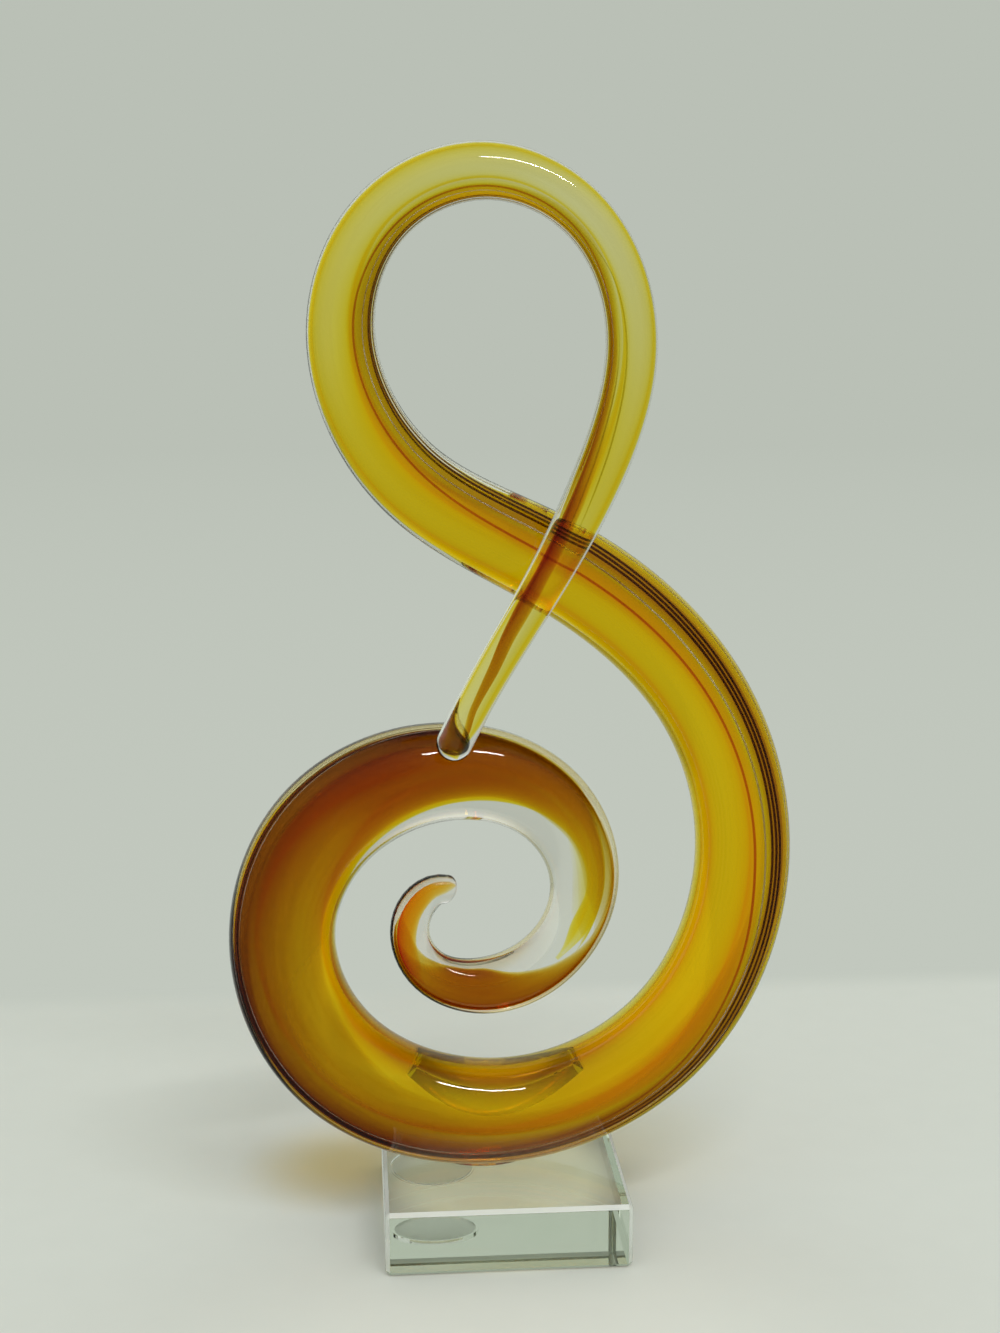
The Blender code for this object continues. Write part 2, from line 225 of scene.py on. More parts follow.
@dataclass
class Route:
    """The rod's smooth centreline and its sections."""

    bends: Table = BENDS
    depth_share: float = 0.88
    crossing_clearance: float = 0.5 * MM
    plane_y: float = -3.0 * MM
    foot_plane: float = 19.7 * MM
    foot_grind: float = 0.6 * MM
    search_step: float = 1.0 * MM
    offset: Vector = field(default_factory=Vector)

    def __post_init__(self) -> None:
        """Fits the spline and finds where the tail passes in front of the body."""
        values = np.array(self.bends) * MM
        chords = np.linalg.norm(np.diff(values[:, :2], axis=0), axis=1)
        knots = np.concatenate([[0.0], np.cumsum(chords)])
        self.curve = Curve(knots, values, natural_slopes(knots, values))
        self.length = float(knots[-1])
        first, last = BODY_BENDS
        body = np.arange(knots[first], knots[last], self.search_step)
        tail = np.arange(knots[LOOP_TOP_BEND], self.length, self.search_step)
        body_points = np.array([self.curve.at(place)[:2] for place in body])
        tail_points = np.array([self.curve.at(place)[:2] for place in tail])
        apart = np.linalg.norm(body_points[:, None] - tail_points[None], axis=2)
        i, j = np.unravel_index(np.argmin(apart), apart.shape)
        self.body_crossing, self.tail_crossing = float(body[i]), float(tail[j])
        widths = self.curve.at(self.body_crossing)[2] + self.curve.at(self.tail_crossing)[2]
        self.advance = widths / 2.0 * self.depth_share + self.crossing_clearance
        lowest = min(self.section(place).point(1.0, 0.0).z for place in body)
        self.offset = Vector((0.0, self.plane_y, self.foot_plane - self.foot_grind - lowest))

    def place(self, bend: float) -> float:
        """Distance along the rod of a bend's number, which may lie between two bends."""
        return float(np.interp(bend, range(len(self.bends)), self.curve.knots))

    def section(self, place: float) -> Section:
        """The rod's section.

        Args:
            place: Distance along the rod.

        Returns:
            The section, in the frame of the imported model.
        """
        x, z, width = self.curve.at(place)
        change = self.curve.at(place, order=1)
        run = self.tail_crossing - self.body_crossing
        t = min(max((place - self.body_crossing) / run, 0.0), 1.0)
        forward = self.advance * t * t * (3.0 - 2.0 * t)
        coming = self.advance * 6.0 * t * (1.0 - t) / run
        along = Vector((change[0], -coming, change[1])).normalized()
        outward = Vector((0.0, 1.0, 0.0)).cross(along).normalized()
        return Section(
            place=place,
            centre=Vector((x, -forward, z)) + self.offset,
            outward=outward,
            front=outward.cross(along),
            half_width=width / 2.0,
            half_depth=width / 2.0 * self.depth_share,
        )

    def places(self, start: float, end: float, step: float) -> np.ndarray:
        """Evenly spaced places.

        Args:
            start: First place.
            end: Last place.
            step: Longest distance between two places.

        Returns:
            The places from start to end.
        """
        return np.linspace(start, end, int(math.ceil((end - start) / step)) + 1)

    def table(self, rows: Table) -> Curve:
        """A curve through rows whose first number is a bend's number.

        Args:
            rows: The rows, in order along the rod.

        Returns:
            The curve of their other numbers.
        """
        knots = np.array([self.place(row[0]) for row in rows])
        values = np.array([row[1:] for row in rows])
        return Curve(knots, values, level_slopes(knots, values))


# Shapes swept along the rod


class Outline:
    """The closed outline of a layer in the rod's section."""

    def at(self, section: Section, turn: float) -> tuple[float, float]:
        """Shares of the half width and of the half depth at a turn in radians from the outer side."""
        raise NotImplementedError


@dataclass
class Oval(Outline):
    """An oval from an inner to an outer edge, in shares of the half width."""

    curve: Curve
    depth: float = 1.0

    def at(self, section: Section, turn: float) -> tuple[float, float]:
        """A point of the oval.

        Args:
            section: The rod's section.
            turn: Angle in radians round the outline.

        Returns:
            Shares of the half width outwards and of the half depth forwards.
        """
        inner, outer = self.curve.at(section.place)[:2]
        radius = (outer - inner) / 2.0
        return (inner + outer) / 2.0 + radius * math.cos(turn), radius * self.depth * math.sin(turn)


@dataclass
class Crescent(Outline):
    """A layer that lies round the outer side of an oval and thins out to both sides.

    Each row of the curve holds the oval's inner and outer edge, the layer's reach in degrees to each side,
    its thickness at the middle, half way and near the rims, in shares of the half width, and the turn of the
    whole layer towards the viewer in degrees.
    """

    curve: Curve
    depth: float = 0.95
    rim: float = 0.004

    def at(self, section: Section, turn: float) -> tuple[float, float]:
        """A point of the layer's outer face, or of its inner face on the way back.

        Args:
            section: The rod's section.
            turn: Angle in radians round the outline.

        Returns:
            Shares of the half width outwards and of the half depth forwards.
        """
        inner, outer, reach, middle, halfway, near_rim, twist = self.curve.at(section.place)
        side = math.cos(turn)
        thick = float(np.interp(abs(side), THICKNESS_STOPS, (middle, halfway, near_rim, self.rim)))
        on_outer_arc = math.sin(turn) > SMALLEST
        grown = (outer - inner) / 2.0 + (thick if on_outer_arc else 0.0)
        centre = (inner + outer) / 2.0
        angle = side * math.radians(reach) + math.radians(twist)
        return centre + grown * math.cos(angle), grown * self.depth * math.sin(angle)


@dataclass
class Line(Outline):
    """A fine line of glass.

    Each row of the curve holds its turn from the outer side towards the viewer in degrees, its distance from
    the middle and its radius, in shares of the half width.
    """

    curve: Curve

    def at(self, section: Section, turn: float) -> tuple[float, float]:
        """A point round the line.

        Args:
            section: The rod's section.
            turn: Angle in radians round the outline.

        Returns:
            Shares of the half width outwards and of the half depth forwards.
        """
        degrees, shell, radius = self.curve.at(section.place)
        angle = math.radians(degrees)
        return (
            shell * math.cos(angle) + radius * math.cos(turn),
            shell * math.sin(angle) + radius * math.sin(turn) * section.half_width / section.half_depth,
        )


def roll(shape: bmesh.types.BMesh, rings: int, sides: int, put: Callable) -> tuple[list, list]:
    """Rolls a flat grid to a tube with open ends, so that its rows become rings.

    Args:
        shape: Where the tube goes.
        rings: Number of the last ring; the first is 0.
        sides: Points in a ring.
        put: Places a point, when it is given the point, its ring's number and its own number on the ring.

    Returns:
        The edges of the first and of the last ring.
    """
    grid = bmesh.ops.create_grid(shape, x_segments=rings, y_segments=sides, size=1.0)["verts"]
    seam, ends = [], ([], [])
    for vert in grid:
        ring = round((vert.co.x + 1.0) / 2.0 * rings)
        side = round((vert.co.y + 1.0) / 2.0 * sides)
        put(vert, ring, side)
        if side in (0, sides):
            seam.append(vert)
        if side and ring in (0, rings):
            ends[ring > 0].append(vert)
    bmesh.ops.remove_doubles(shape, verts=seam, dist=SEAM_REACH)
    return tuple(
        list(dict.fromkeys(
            edge for vert in end if vert.is_valid for edge in vert.link_edges if edge.is_boundary
        ))
        for end in ends
    )


class Sweep:
    """Closed tubes that follow the rod."""

    def __init__(self, route: Route) -> None:
        """Starts an empty shape with the layer that the finishes read.

        Args:
            route: What its tubes follow.
        """
        self.route = route
        self.shape = bmesh.new()
        self.straight = self.shape.verts.layers.float_vector.new(Grain.ALONG_ROD.value)
        self.walls = []
        self.hollows = []

    def solid(self, outline: Outline, places: np.ndarray, sides: int, hollow: bool = False) -> None:
        """Adds a tube with closed ends.

        Args:
            outline: What its rings follow.
            places: Where its rings stand.
            sides: Points in a ring.
            hollow: Whether it is an empty space inside another tube.
        """
        before = set(self.shape.faces)
        for ring in self.tube(outline, places, sides):
            made = bmesh.ops.contextual_create(self.shape, geom=ring)["faces"]
            bmesh.ops.poke(self.shape, faces=made)
        faces = [face for face in self.shape.faces if face not in before]
        (self.hollows if hollow else self.walls).extend(faces)

    def tube(self, outline: Outline, places: np.ndarray, sides: int) -> tuple[list, list]:
        """Adds a tube with open ends.

        Args:
            outline: What its rings follow.
            places: Where its rings stand.
            sides: Points in a ring.

        Returns:
            The edges of the first and of the last ring.
        """
        sections = [self.route.section(place) for place in places]

        def put(vert: bmesh.types.BMVert, ring: int, side: int) -> None:
            """Places a point on the outline and notes where it lies on the rod laid out straight.

            Args:
                vert: The point.
                ring: Its ring's number.
                side: Its number on the ring.
            """
            section = sections[ring]
            across, forward = outline.at(section, 2.0 * math.pi * side / sides - math.pi)
            vert.co = section.point(across, forward)
            vert[self.straight] = (places[ring], across * section.half_width, forward * section.half_depth)

        return roll(self.shape, len(places) - 1, sides, put)

    def piece(self, name: str) -> bpy.types.Object:
        """Makes the object, with smooth faces that point outwards.

        Args:
            name: The object's name.

        Returns:
            The object, linked to the scene.
        """
        for faces in (self.walls, self.hollows):
            bmesh.ops.recalc_face_normals(self.shape, faces=[face for face in faces if face.is_valid])
        bmesh.ops.reverse_faces(self.shape, faces=self.hollows)
        if self.shape.calc_volume(signed=True) < 0.0:
            bmesh.ops.reverse_faces(self.shape, faces=self.shape.faces[:])
        return make_object(name, self.shape)


def make_object(name: str, shape: bmesh.types.BMesh, sharp: bool = False) -> bpy.types.Object:
    """Turns a finished shape into an object at the origin with smooth faces.

    Args:
        name: The object's name.
        shape: The shape, which is freed.
        sharp: Whether its steep edges stay sharp.

    Returns:
        The object, linked to the scene.
    """
    mesh = bpy.data.meshes.new(name)
    shape.to_mesh(mesh)
    shape.free()
    mesh.shade_smooth()
    if sharp:
        mesh.set_sharp_from_angle(angle=SHARP_EDGE)
    piece = bpy.data.objects.new(name, mesh)
    bpy.context.scene.collection.objects.link(piece)
    return piece


# Finishes


def add_node(
    tree: bpy.types.NodeTree, kind: str, settings: dict | None = None, **links: bpy.types.NodeSocket
) -> bpy.types.Node:
    """Adds a node.

    Args:
        tree: Where it goes.
        kind: The node's type name.
        settings: Attributes of the node, or values of its inputs by their names or numbers.
        links: What each input is linked to, an output socket; the input's name with _ for a space, or
            in0, in1 and so on for its number.

    Returns:
        The node.
    """
    node = tree.nodes.new(kind)
    for key, value in (settings or {}).items():
        if isinstance(key, str) and hasattr(node, key):
            setattr(node, key, value)
        else:
            node.inputs[key].default_value = value
    for key, socket in links.items():
        target = int(key[2:]) if key[:2] == "in" and key[2:].isdigit() else key.replace("_", " ")
        tree.links.new(socket, node.inputs[target])
    return node


class Grain(Enum):
    """Which coordinates the pattern of a finish follows: the rod laid out straight, or the object's own."""

    ALONG_ROD = "straight"
    OBJECT = "object"


@dataclass(frozen=True)
class GlassFinish:
    """A transparent glass: its surface, and the light that it takes away for each millimetre."""

    name: str
    ior: float
    taken: tuple[float, float, float]
    streak_colour: str = "#FFFFFF"
    streak_share: float = 0.0
    streak_width: float = 1.5 * MM
    streak_length: float = 60.0 * MM
    wave_size: float = 9.0 * MM
    wave_length: float = 30.0 * MM
    wave_height: float = 0.0
    roughness: float = 0.0
    clearness: float = 1.0
    grain: Grain = Grain.ALONG_ROD

    def coordinates(self, tree: bpy.types.NodeTree, size: float, length: float) -> bpy.types.NodeSocket:
        """Coordinates in which the pattern is as large as it is long.

        Args:
            tree: The material's nodes.
            size: Width of the pattern.
            length: Length of the pattern along the rod.

        Returns:
            The socket that holds them.
        """
        if self.grain is Grain.ALONG_ROD:
            attribute = {"attribute_name": self.grain.value}
            source = add_node(tree, "ShaderNodeAttribute", attribute).outputs["Vector"]
        else:
            source = add_node(tree, "ShaderNodeTexCoord").outputs["Object"]
        scale = {"Scale": (1.0 / length, 1.0 / size, 1.0 / size)}
        return add_node(tree, "ShaderNodeMapping", scale, Vector=source).outputs["Vector"]

    def make(self) -> bpy.types.Material:
        """Makes the material.

        Returns:
            The material, with its surface and what it takes from the light.
        """
        material = bpy.data.materials.new(self.name)
        material.use_nodes = True
        tree = material.node_tree
        tree.nodes.clear()
        surface = {
            "Base Color": WHITE, "Roughness": self.roughness, "IOR": self.ior,
            "Transmission Weight": self.clearness,
        }
        shader = add_node(tree, "ShaderNodeBsdfPrincipled", surface)
        if self.streak_share > 0.0:
            place = self.coordinates(tree, self.streak_width, self.streak_length)
            noise = add_node(tree, "ShaderNodeTexNoise", {"Scale": 1.0, "Detail": 3.0}, Vector=place)
            streak = {"From Min": STREAK_START, "From Max": STREAK_FULL, "To Max": self.streak_share}
            ramp = add_node(tree, "ShaderNodeMapRange", streak, Value=noise.outputs["Fac"])
            colours = {"data_type": "RGBA", MIX_FIRST: WHITE, MIX_SECOND: linear(self.streak_colour)}
            tint = add_node(tree, "ShaderNodeMix", colours, in0=ramp.outputs["Result"])
            tree.links.new(tint.outputs[MIX_RESULT], shader.inputs["Base Color"])
        if self.wave_height > 0.0:
            place = self.coordinates(tree, self.wave_size, self.wave_length)
            noise = add_node(tree, "ShaderNodeTexNoise", {"Scale": 1.0, "Detail": 1.0}, Vector=place)
            wave = {"Strength": 1.0, "Distance": self.wave_height}
            bump = add_node(tree, "ShaderNodeBump", wave, Height=noise.outputs["Fac"])
            tree.links.new(bump.outputs["Normal"], shader.inputs["Normal"])
        output = add_node(tree, "ShaderNodeOutputMaterial", Surface=shader.outputs["BSDF"])
        if max(self.taken) > 0.0:
            density = max(self.taken) * DENSITY_MARGIN / MM
            colour = tuple(1.0 - taken / MM / density for taken in self.taken)
            body = {"Color": (*colour, 1.0), "Density": density}
            volume = add_node(tree, "ShaderNodeVolumeAbsorption", body)
            tree.links.new(volume.outputs["Volume"], output.inputs["Volume"])
        return material


# Soda-lime casing glass, hot worked and fire polished: perfectly smooth, with the slow waves of a shape that
# was pulled and bent by hand
CASING_GLASS = GlassFinish(
    "fire polished clear soda-lime glass", 1.5, (0.0008, 0.0007, 0.0026), wave_height=0.05 * MM,
)
# Transparent yellow glass, pulled over a clear core: fused in, so that it shows no surface of its own, with
# fine streaks along the rod where it was pulled
YELLOW_GLASS = GlassFinish(
    "cased transparent yellow glass", 1.0, (0.002, 0.086, 1.15), streak_colour="#F0E8B8", streak_share=0.2,
    streak_width=3.0 * MM, streak_length=90.0 * MM,
)
# Denser amber glass in a band along the outer side of the bends
AMBER_GLASS = GlassFinish(
    "cased dense amber glass", 1.0, (0.040, 0.100, 1.0), streak_colour="#E8CF9A", streak_share=0.2,
    streak_width=1.6 * MM, streak_length=90.0 * MM,
)
# Deep orange-brown glass round the scroll, which thins out towards the body
ORANGE_GLASS = GlassFinish(
    "cased deep orange glass", 1.0, (0.40, 0.73, 2.8), streak_colour="#E8C08A", streak_share=0.2,
    streak_width=3.0 * MM, streak_length=90.0 * MM,
)
# Bright orange glass in the curl
BRIGHT_ORANGE_GLASS = GlassFinish(
    "cased bright orange glass", 1.0, (0.12, 1.5, 8.0), streak_colour="#E8C08A", streak_share=0.2,
    streak_width=2.0 * MM, streak_length=90.0 * MM,
)
# The same orange drawn over brown glass, in the scroll's bottom and in the tail
BROWN_ORANGE_GLASS = GlassFinish(
    "cased brown orange glass", 1.0, (0.42, 1.13, 5.0), streak_colour="#E8C08A", streak_share=0.2,
    streak_width=2.0 * MM, streak_length=90.0 * MM,
)
# A thin veil of tan glass, smeared out of the fine lines along the outer side
VEIL_GLASS = GlassFinish(
    "cased tan veil glass", 1.0, (0.13, 0.22, 0.62), streak_colour="#C9A868", streak_share=0.3,
    streak_width=1.0 * MM, streak_length=90.0 * MM,
)
# Fine pulled lines of colour: olive, orange, pale grey and brown
OLIVE_LINE_GLASS = GlassFinish(
    "pulled olive line glass", 1.0, (0.75, 0.85, 4.0), streak_colour="#B9B060", streak_share=0.3,
)
ORANGE_LINE_GLASS = GlassFinish(
    "pulled orange line glass", 1.0, (0.5, 1.6, 6.0), streak_colour="#C9722A", streak_share=0.4,
)
PALE_LINE_GLASS = GlassFinish(
    "pulled milky line glass", 1.02, (0.10, 0.14, 0.45), streak_colour="#D2B866", streak_share=1.0,
    roughness=0.3, clearness=0.75,
)
BROWN_LINE_GLASS = GlassFinish(
    "pulled brown line glass", 1.0, (2.4, 3.2, 5.0), streak_colour="#6B4322", streak_share=0.4,
)
# Float glass with ground and polished faces: flat and clear, faintly green through its length from its iron
BLOCK_GLASS = GlassFinish(
    "polished float glass", 1.52, (0.0040, 0.0028, 0.0048), streak_colour="#F8FBF9", streak_share=0.5,
    streak_width=14.0 * MM, streak_length=14.0 * MM, grain=Grain.OBJECT,
)
# Acrylate adhesive cured under light: clear, a shade warmer than the glass
BOND = GlassFinish(
    "cured clear acrylate adhesive", 1.5, (0.004, 0.006, 0.012), streak_colour="#F2F0E4", streak_share=0.4,
    streak_width=0.8 * MM, streak_length=0.8 * MM, grain=Grain.OBJECT,
)
# Clear film label with a matte face and nothing printed on it
LABEL_FILM = GlassFinish(
    "matte clear polyester label film", 1.52, (0.02, 0.02, 0.025), streak_colour="#F4F5F1", streak_share=0.5,
    streak_width=0.6 * MM, streak_length=0.6 * MM, roughness=0.25, grain=Grain.OBJECT,
)


# The clef


@dataclass
class Clef:
    """The bent rod: a clear casing with sleeves, bands and lines of coloured glass inside."""

    route: Route
    ring_step: float = 2.0 * MM
    casing_sides: int = 64
    layer_sides: int = 40
    line_sides: int = 8
    curl_rounding: float = 2.6 * MM
    tip_rings: int = 9
    tip_start: float = 0.4
    foot_depth: float = 0.8 * MM
    layer_depth: float = 0.95
    # bend, inner and outer edge of the yellow sleeve, inner and outer edge of the clear core in its bore
    sleeve_rows: Table = (
        (6, 0.1, 0.2, 0.13, 0.18),
        (6.5, -0.08, 0.36, 0.12, 0.29),
        (7, 0.04, 0.42, 0.17, 0.28),
        (7.5, -0.04, 0.45, 0.13, 0.28),
        (8, -0.2, 0.5, 0.06, 0.2),
        (8.5, -0.36, 0.46, 0.02, 0.1),
        (9, -0.47, 0.4, -0.06, 0.06),
        (9.5, -0.57, 0.44, -0.2, 0.08),
        (10, -0.64, 0.42, -0.41, 0.19),
        (10.5, -0.69, 0.4, -0.49, 0.28),
        (11, -0.69, 0.38, -0.53, 0.33),
        (11.5, -0.69, 0.35, -0.55, 0.29),
        (12, -0.69, 0.31, -0.47, 0.28),
        (12.5, -0.68, 0.31, -0.48, 0.26),
        (13, -0.68, 0.33, -0.41, 0.21),
        (14, -0.68, 0.39, -0.5, 0.12),
        (15, -0.67, 0.34, -0.5, 0.1),
        (16, -0.67, 0.25, -0.5, 0.04),
        (17, -0.67, 0.26, -0.5, 0.03),
        (18.3, -0.7, 0.34, -0.57, 0.1),
        (19, -0.71, 0.32, -0.62, 0.18),
        (20, -0.71, 0.22, -0.6, 0.15),
        (21, -0.71, 0.2, -0.61, 0.15),
        (22, -0.71, 0.22, -0.63, 0.18),
        (23, -0.7, 0.25, -0.6, 0.17),
        (24, -0.68, 0.3, -0.52, 0.1),
        (25, -0.66, 0.56, -0.5, 0.44),
        (25.6, -0.65, 0.62, -0.48, 0.55),
        (26.4, -0.62, 0.62, -0.46, 0.55),
        (26.9, -0.4, 0.3, -0.34, 0.26),
    )
    # bend, inner and outer edge, reach in degrees, thickness at the middle, half way and near the rims, turn
    amber_rows: Table = (
        (6.2, -0.3, 0.37, *THIN_END, 0),
        (6.6, -0.42, 0.37, 100, 0.01, 0.12, 0.04, 0),
        (7, -0.49, 0.37, 108, 0.03, 0.16, 0.05, 0),
        (7.5, -0.52, 0.4, 100, 0.04, 0.15, 0.04, 0),
        (8, -0.54, 0.5, 76, 0.05, 0.13, 0.05, 0),
        (8.5, -0.55, 0.5, 66, 0.06, 0.14, 0.06, 0),
        (9, -0.56, 0.48, 62, 0.116, 0.171, 0.063, 0),
        (9.5, -0.6, 0.35, 109, 0.144, 0.239, 0.058, 0),
        (10, -0.59, 0.35, 104, 0.163, 0.264, 0.077, 0),
        (10.5, -0.57, 0.39, 108, 0.151, 0.26, 0.065, 0),
        (11, -0.55, 0.44, 107, 0.129, 0.22, 0.095, 0),
        (11.5, -0.5, 0.55, 106, 0.106, 0.194, 0.088, 0),
        (12, -0.44, 0.57, 91, 0.096, 0.217, 0.106, 0),
        (12.5, -0.44, 0.55, 107, 0.132, 0.305, 0.109, 0),
        (13, -0.37, 0.51, 81, 0.181, 0.365, 0.105, 0),
        (14, -0.3, 0.42, 60, 0.257, 0.378, 0.089, 0),
        (15, -0.35, 0.45, 65, 0.242, 0.369, 0.085, 0),
        (16, -0.45, 0.4, 85, 0.279, 0.376, 0.089, 0),
        (17, -0.48, 0.37, 93, 0.293, 0.361, 0.092, 0),
        (18.3, -0.38, 0.21, 49, 0.42, 0.253, 0.082, 0),
        (19, -0.38, 0.24, 52, 0.406, 0.246, 0.086, 0),
        (20, -0.36, 0.31, 60, 0.364, 0.225, 0.097, 0),
        (21, -0.35, 0.35, 67, 0.322, 0.206, 0.103, 0),
        (22, -0.36, 0.39, 65, 0.283, 0.212, 0.097, 0),
        (23, -0.4, 0.44, 78, 0.247, 0.211, 0.09, 0),
        (24, -0.42, 0.37, 77, 0.294, 0.231, 0.084, 0),
        (25, -0.36, 0.32, 60, 0.12, 0.1, 0.03, 0),
        (25.6, -0.3, 0.3, *THIN_END, 0),
    )
    orange_rows: Table = (
        (6.4, -0.2, 0.56, *THIN_END, 30),
        (7, -0.23, 0.58, 66, 0.06, 0.045, 0.028, 56),
        (7.5, -0.26, 0.56, 72, 0.09, 0.07, 0.038, 55),
        (8, -0.38, 0.54, 78, 0.135, 0.125, 0.047, 52),
        (8.5, -0.45, 0.55, 80, 0.165, 0.17, 0.055, 50),
        (9, -0.56, 0.58, 84, 0.165, 0.175, 0.06, 50),
        (9.5, -0.64, 0.6, 88, 0.15, 0.13, 0.05, 54),
        (10, -0.67, 0.6, 92, 0.118, 0.09, 0.05, 60),
        (10.5, -0.67, 0.6, 94, 0.12, 0.09, 0.05, 62),
        (11, -0.67, 0.6, 94, 0.118, 0.09, 0.05, 62),
        (11.5, -0.67, 0.6, 92, 0.112, 0.08, 0.045, 60),
        (12, -0.65, 0.6, 84, 0.105, 0.07, 0.04, 56),
        (12.5, -0.64, 0.62, 70, 0.095, 0.06, 0.03, 50),
        (13, -0.64, 0.62, 60, 0.08, 0.046, 0.02, 50),
        (14, -0.64, 0.62, 54, 0.036, 0.028, 0.014, 54),
        (15, -0.61, 0.62, 35, 0.044, 0.031, 0.015, 35),
        (16, -0.61, 0.6, 31, 0.034, 0.032, 0.017, 31),
        (17, -0.63, 0.62, 31.5, 0.011, 0.022, 0.016, 31.5),
        (18.3, -0.77, 0.59, 35, 0.065, 0.05, 0.03, 18),
        (19, -0.78, 0.6, 37, 0.092, 0.07, 0.042, 20),
        (20, -0.78, 0.62, 34, 0.09, 0.068, 0.036, 17),
        (21, -0.78, 0.62, 32, 0.09, 0.07, 0.039, 15),
        (22, -0.79, 0.62, 38, 0.09, 0.068, 0.037, 22),
        (23, -0.8, 0.62, 26, 0.065, 0.048, 0.025, 12),
        (24, -0.79, 0.6, 22, 0.055, 0.04, 0.022, 8),
        (24.6, -0.7, 0.6, *THIN_END, 8),
    )
    curl_rows: Table = (
        (0.15, -0.4, 0.46, *THIN_END, 30),
        (0.6, -0.42, 0.4, 66, 0.1, 0.07, 0.02, 52),
        (1.2, -0.44, 0.36, 70, 0.13, 0.09, 0.025, 58),
        (2, -0.46, 0.36, 74, 0.16, 0.12, 0.035, 60),
        (2.6, -0.46, 0.4, 74, 0.16, 0.12, 0.04, 58),
        (3.2, -0.42, 0.44, 70, 0.13, 0.1, 0.045, 52),
        (3.7, -0.36, 0.48, 60, 0.07, 0.06, 0.03, 46),
        (4.1, -0.24, 0.5, *THIN_END, 42),
    )
    scroll_rows: Table = (
        (2.4, -0.24, 0.5, *THIN_END, 34),
        (2.8, -0.32, 0.52, 64, 0.05, 0.065, 0.045, 36),
        (3.2, -0.38, 0.54, 90, 0.05, 0.09, 0.07, 33),
        (3.6, -0.43, 0.55, 110, 0.05, 0.105, 0.09, 30),
        (4, -0.5, 0.56, 130, 0.04, 0.125, 0.11, 30),
        (4.5, -0.56, 0.57, 145, 0.03, 0.14, 0.13, 28),
        (5, -0.54, 0.57, 145, 0.03, 0.13, 0.12, 24),
        (5.5, -0.26, 0.58, 128, 0.03, 0.1, 0.08, 14),
        (6, -0.02, 0.59, 98, 0.04, 0.07, 0.04, 8),
        (6.5, 0.25, 0.6, 70, 0.035, 0.03, 0.012, 0),
        (7, 0.3, 0.61, 60, 0.03, 0.02, 0.01, 0),
        (7.6, 0.35, 0.62, *THIN_END, 0),
    )
    tail_rows: Table = (
        (22.6, -0.46, 0.54, *THIN_END, 6),
        (23.3, -0.46, 0.53, 28, 0.03, 0.025, 0.012, 12),
        (24, -0.4, 0.44, 40, 0.12, 0.1, 0.045, 28),
        (24.35, -0.38, 0.39, 46, 0.21, 0.18, 0.08, 34),
        (24.8, -0.36, 0.36, 50, 0.26, 0.22, 0.1, 40),
        (25.25, -0.36, 0.36, 55, 0.3, 0.26, 0.12, 46),
        (25.5, -0.36, 0.36, 47, 0.3, 0.26, 0.12, 55),
        (25.87, -0.36, 0.36, 38, 0.28, 0.22, 0.1, 84),
        (26.3, -0.38, 0.38, 25, 0.24, 0.19, 0.08, 93),
        (26.6, -0.4, 0.4, 24, 0.2, 0.16, 0.06, 120),
        (26.9, -0.42, 0.42, *THIN_END, 128),
    )
    veil_rows: Table = (
        (0.4, -0.6, 0.68, *THIN_END, 0),
        (0.9, -0.6, 0.7, 40, 0.04, 0.035, 0.02, 0),
        (2.5, -0.6, 0.71, 40, 0.04, 0.035, 0.02, 0),
        (4, -0.6, 0.71, 40, 0.03, 0.025, 0.015, 0),
        (7, -0.6, 0.71, 40, 0.03, 0.025, 0.015, 0),
        (9, -0.6, 0.71, 42, 0.04, 0.035, 0.02, 0),
        (11.5, -0.6, 0.71, 42, 0.045, 0.035, 0.02, 0),
        (13, -0.6, 0.71, 38, 0.035, 0.03, 0.015, 0),
        (14, -0.6, 0.7, *THIN_END, 0),
    )
    # bend, degrees from the outer side towards the viewer, distance from the middle and radius in half widths
    orange_line: Table = (
        (12, 31, 0.62, 0.008),
        (13, 41, 0.62, 0.012),
        (14, 53, 0.62, 0.02),
        (14.5, 65, 0.62, 0.026),
        (15, 78, 0.62, 0.028),
        (16, 81, 0.62, 0.028),
        (17, 79, 0.62, 0.028),
        (18.3, 60, 0.62, 0.03),
        (19, 59, 0.62, 0.03),
        (20, 46, 0.62, 0.032),
        (21, 41, 0.62, 0.032),
        (22, 32, 0.62, 0.032),
        (22.5, 19, 0.62, 0.034),
        (23, 6, 0.62, 0.036),
        (24, 10, 0.62, 0.034),
    )
    olive_lines: tuple[Table, ...] = (
        (
            (22, 38, 0.6, 0.008),
            (22.5, 58, 0.6, 0.026),
            (23, 66, 0.6, 0.032),
            (23.5, 76, 0.6, 0.036),
            (24, 90, 0.6, 0.036),
            (24.6, 100, 0.6, 0.02),
        ),
        (
            (22.9, 40, 0.6, 0.008),
            (23.5, 44, 0.6, 0.03),
            (24, 55, 0.6, 0.036),
            (24.6, 66, 0.6, 0.02),
        ),
    )
